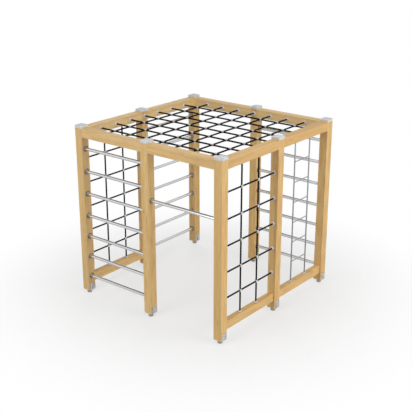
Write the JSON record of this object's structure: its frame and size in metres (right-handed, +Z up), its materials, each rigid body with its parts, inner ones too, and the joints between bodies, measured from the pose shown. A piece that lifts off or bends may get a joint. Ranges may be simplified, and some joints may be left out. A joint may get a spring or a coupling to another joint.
{
  "type": "climbing frame",
  "caption": "Square timber climbing frame with tube rung ladders, rope nets at the sides and top, a rod ladder, a hanging bar and an open doorway, on steel post shoes.",
  "frame": {"origin": "on the ground, under the middle of the frame", "axes": "+X to the right across the front, +Y to the back, +Z up"},
  "size_m": [2.197, 2.164, 2.142],
  "materials": {
    "timber": "planed pine with clear honey stain",
    "cap_plastic": "light grey moulded",
    "galvanised_steel": "galvanised",
    "fastener_steel": "zinc plated",
    "tube_steel": "bright stainless",
    "flange_steel": "satin",
    "rod_steel": "satin",
    "rope": "laid black rope",
    "connector_aluminium": "light grey moulded"
  },
  "bodies": {
    "root": {"post_front_left": "timber", "post_front_middle": "timber", "post_front_right": "timber", "post_right_middle": "timber", "post_back_right": "timber", "post_back_middle": "timber", "post_back_left": "timber", "post_left_middle": "timber", "beam_front_left": "timber", "beam_front_right": "timber", "beam_right_front": "timber", "beam_right_back": "timber", "beam_back_right": "timber", "beam_back_left": "timber", "beam_left_back": "timber", "beam_left_front": "timber", "rail_right_front": "timber", "rail_right_back": "timber", "rail_left_front": "timber", "tenon_pegs": "timber", "cap_front_left": "cap_plastic", "cap_front_middle": "cap_plastic", "cap_front_right": "cap_plastic", "cap_right_middle": "cap_plastic", "cap_back_right": "cap_plastic", "cap_back_middle": "cap_plastic", "cap_back_left": "cap_plastic", "cap_left_middle": "cap_plastic", "shoe_front_left": "galvanised_steel", "shoe_front_middle": "galvanised_steel", "shoe_front_right": "galvanised_steel", "shoe_right_middle": "galvanised_steel", "shoe_back_right": "galvanised_steel", "shoe_back_middle": "galvanised_steel", "shoe_back_left": "galvanised_steel", "shoe_left_middle": "galvanised_steel", "shoe_bolts": "fastener_steel", "shoe_nuts": "fastener_steel", "rungs_front": "tube_steel", "rungs_back": "tube_steel", "rungs_left": "tube_steel", "bar_front": "tube_steel", "rung_flanges": "flange_steel", "top_ropes_across": "rope", "top_ropes_along": "rope", "top_connectors": "connector_aluminium", "top_anchors": "connector_aluminium", "right_cross_ropes": "rope", "right_upright_ropes": "rope", "right_connectors": "connector_aluminium", "right_anchors": "connector_aluminium", "left_cross_ropes": "rope", "left_upright_ropes": "rope", "left_connectors": "connector_aluminium", "left_anchors": "connector_aluminium", "ladder_rods": "rod_steel", "ladder_rungs": "rod_steel", "rod_flanges": "flange_steel", "flange_screws": "fastener_steel"}
  },
  "joints": []
}
